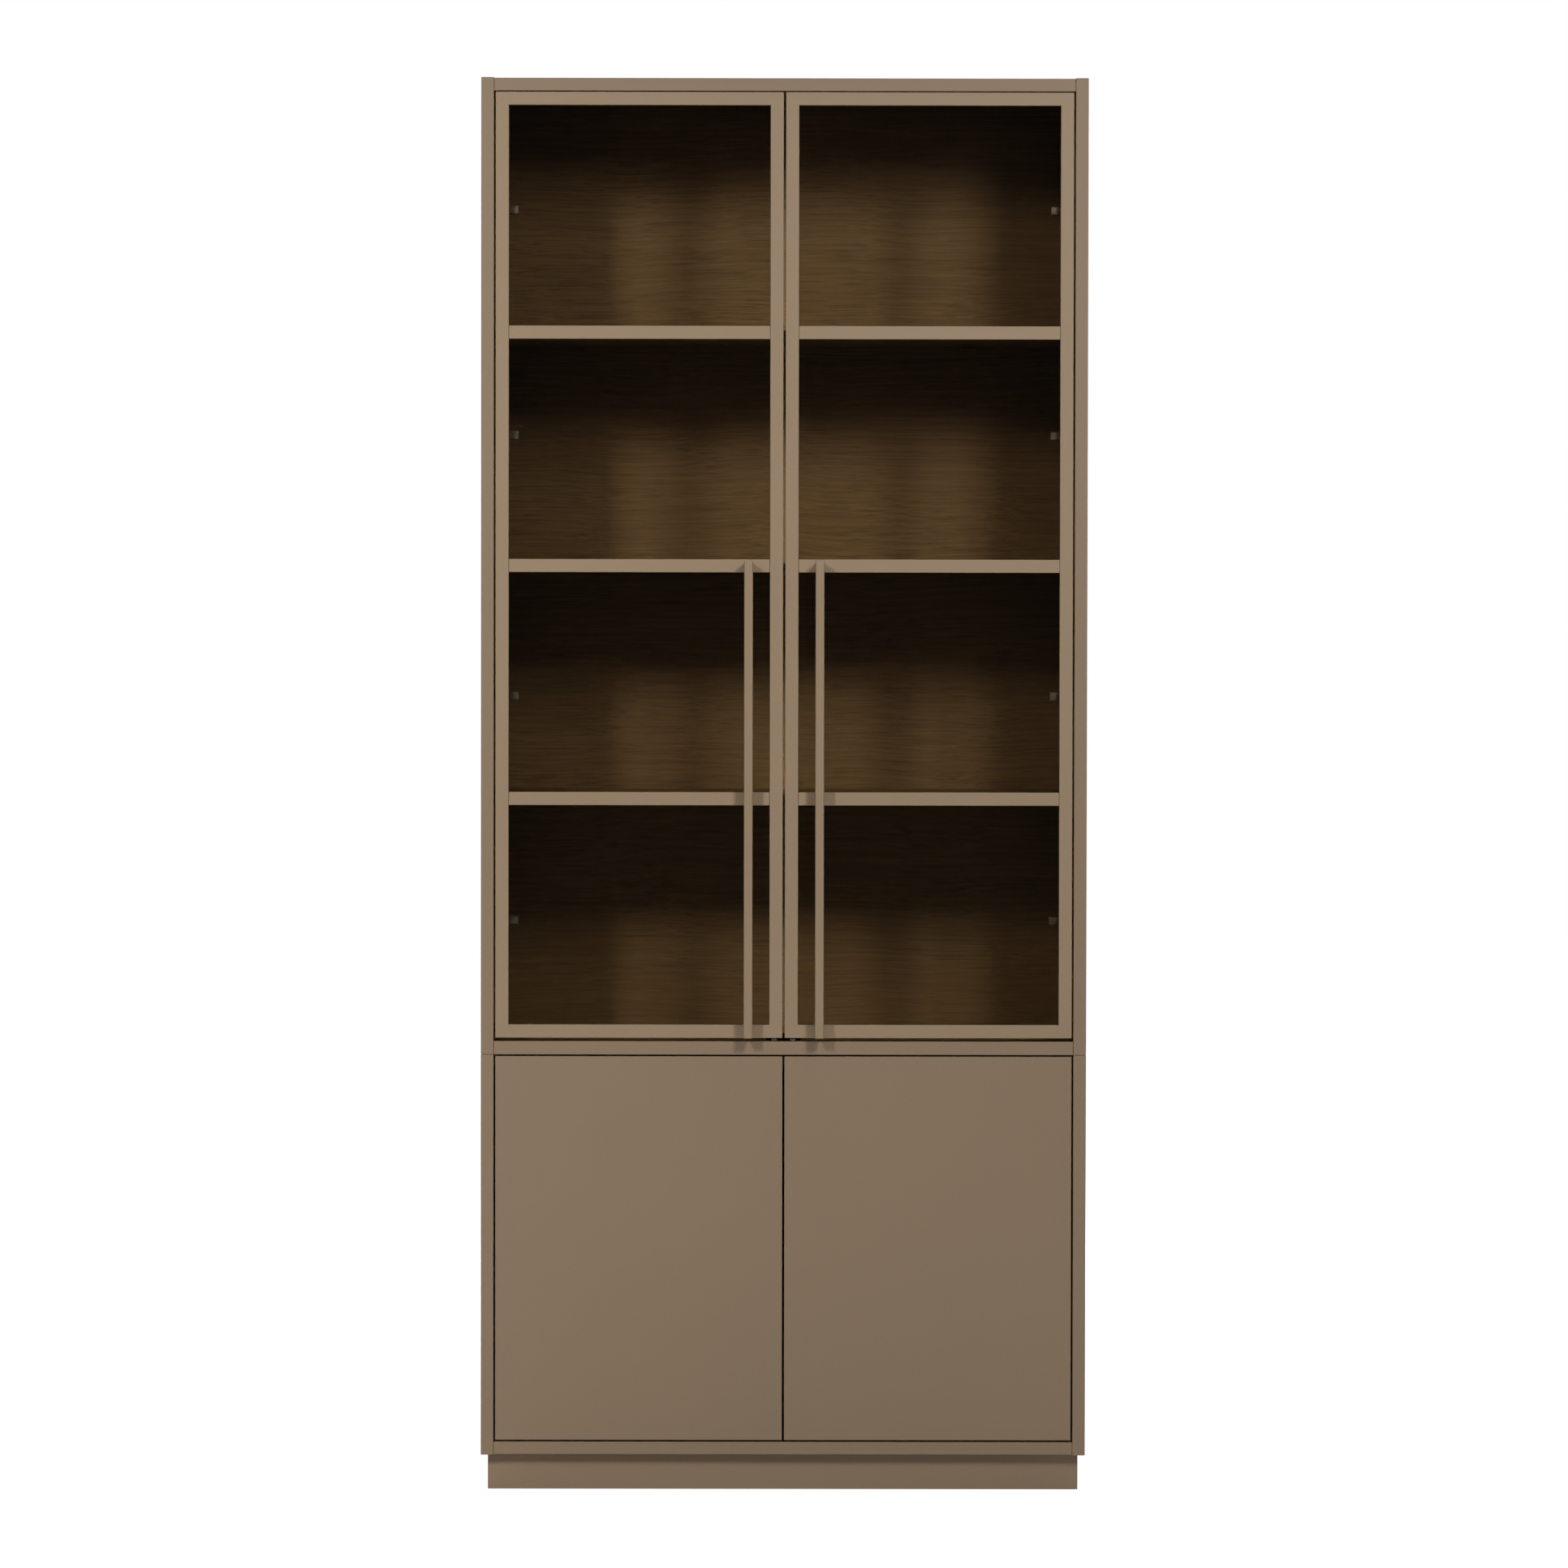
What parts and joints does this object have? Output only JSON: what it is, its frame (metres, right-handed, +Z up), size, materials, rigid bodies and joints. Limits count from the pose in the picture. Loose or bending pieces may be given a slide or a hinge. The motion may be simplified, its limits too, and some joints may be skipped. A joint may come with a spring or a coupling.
{
  "type": "display cabinet",
  "caption": "Tall display cabinet with framed tinted-glass doors and long bar handles over a base with plain push-to-open doors, oak inside, taupe lacquer outside.",
  "frame": {"origin": "on the floor, midway across the width, and midway between the front of the handles and the rear of the side panels", "axes": "+Z up, +X to the right as seen from the front, +Y from the doors towards the rear"},
  "size_m": [0.9, 0.434, 2.1],
  "materials": {
    "taupe_lacquer": "matt taupe lacquer on board",
    "frame_lacquer": "matt taupe lacquer on metal profile",
    "oak_veneer": "matt oak veneer, grain across the width",
    "bronze_glass": "clear bronze-tinted float glass",
    "hinge_steel": "dark-plated",
    "dark_plastic": "moulded"
  },
  "bodies": {
    "cabinet": {"upper_side_left": "taupe_lacquer", "upper_side_right": "taupe_lacquer", "top_board": "taupe_lacquer", "middle_board": "taupe_lacquer", "upper_back_panel": "oak_veneer", "lower_shelf": "oak_veneer", "middle_shelf": "oak_veneer", "upper_shelf": "oak_veneer", "base_side_left": "taupe_lacquer", "base_side_right": "taupe_lacquer", "base_top_board": "taupe_lacquer", "base_bottom_board": "taupe_lacquer", "base_back_panel": "oak_veneer", "base_shelf": "oak_veneer", "plinth_front": "taupe_lacquer", "plinth_left": "taupe_lacquer", "plinth_right": "taupe_lacquer", "left_hinge_arm_1": "hinge_steel", "left_hinge_arm_2": "hinge_steel", "left_hinge_arm_3": "hinge_steel", "left_hinge_arm_4": "hinge_steel", "right_hinge_arm_1": "hinge_steel", "right_hinge_arm_2": "hinge_steel", "right_hinge_arm_3": "hinge_steel", "right_hinge_arm_4": "hinge_steel", "left_base_hinge_arm_1": "hinge_steel", "left_base_hinge_arm_2": "hinge_steel", "right_base_hinge_arm_1": "hinge_steel", "right_base_hinge_arm_2": "hinge_steel", "left_latch_housing": "dark_plastic", "right_latch_housing": "dark_plastic", "magnetic_catch": "dark_plastic"},
    "left_glass_door": {"left_door_frame": "frame_lacquer", "left_door_lower_bar": "frame_lacquer", "left_door_middle_bar": "frame_lacquer", "left_door_upper_bar": "frame_lacquer", "left_door_pane": "bronze_glass", "left_door_handle": "frame_lacquer", "left_door_hinge_cup_1": "hinge_steel", "left_door_hinge_cup_2": "hinge_steel", "left_door_hinge_cup_3": "hinge_steel", "left_door_hinge_cup_4": "hinge_steel"},
    "right_glass_door": {"right_door_frame": "frame_lacquer", "right_door_lower_bar": "frame_lacquer", "right_door_middle_bar": "frame_lacquer", "right_door_upper_bar": "frame_lacquer", "right_door_pane": "bronze_glass", "right_door_handle": "frame_lacquer", "right_door_hinge_cup_1": "hinge_steel", "right_door_hinge_cup_2": "hinge_steel", "right_door_hinge_cup_3": "hinge_steel", "right_door_hinge_cup_4": "hinge_steel"},
    "left_lower_door": {"left_base_door": "taupe_lacquer", "left_base_hinge_cup_1": "hinge_steel", "left_base_hinge_cup_2": "hinge_steel"},
    "right_lower_door": {"right_base_door": "taupe_lacquer", "right_base_hinge_cup_1": "hinge_steel", "right_base_hinge_cup_2": "hinge_steel"},
    "left_plunger": {"left_latch_plunger": "dark_plastic"},
    "right_plunger": {"right_latch_plunger": "dark_plastic"}
  },
  "joints": [
    {"name": "left_glass_door_hinge", "type": "hinge", "parent": "cabinet", "child": "left_glass_door", "pos_m": [-0.42975, -0.183, 1.3769], "axis": [0, 0, -1], "range_deg": [0, 110]},
    {"name": "right_glass_door_hinge", "type": "hinge", "parent": "cabinet", "child": "right_glass_door", "pos_m": [0.42975, -0.183, 1.3769], "axis": [0, 0, 1], "range_deg": [0, 110]},
    {"name": "left_base_door_hinge", "type": "hinge", "parent": "cabinet", "child": "left_lower_door", "pos_m": [-0.42975, -0.183, 0.36165], "axis": [0, 0, -1], "range_deg": [0, 110]},
    {"name": "right_base_door_hinge", "type": "hinge", "parent": "cabinet", "child": "right_lower_door", "pos_m": [0.42975, -0.183, 0.36165], "axis": [0, 0, 1], "range_deg": [0, 110]},
    {"name": "left_plunger_slide", "type": "slide", "parent": "cabinet", "child": "left_plunger", "axis": [0, -1, 0], "range_m": [0, 0.014]},
    {"name": "right_plunger_slide", "type": "slide", "parent": "cabinet", "child": "right_plunger", "axis": [0, -1, 0], "range_m": [0, 0.014]}
  ],
  "couplings": [
    {"joint": "left_plunger_slide", "follows": "left_base_door_hinge", "m_per_rad": 0.00729},
    {"joint": "right_plunger_slide", "follows": "right_base_door_hinge", "m_per_rad": 0.00729}
  ]
}
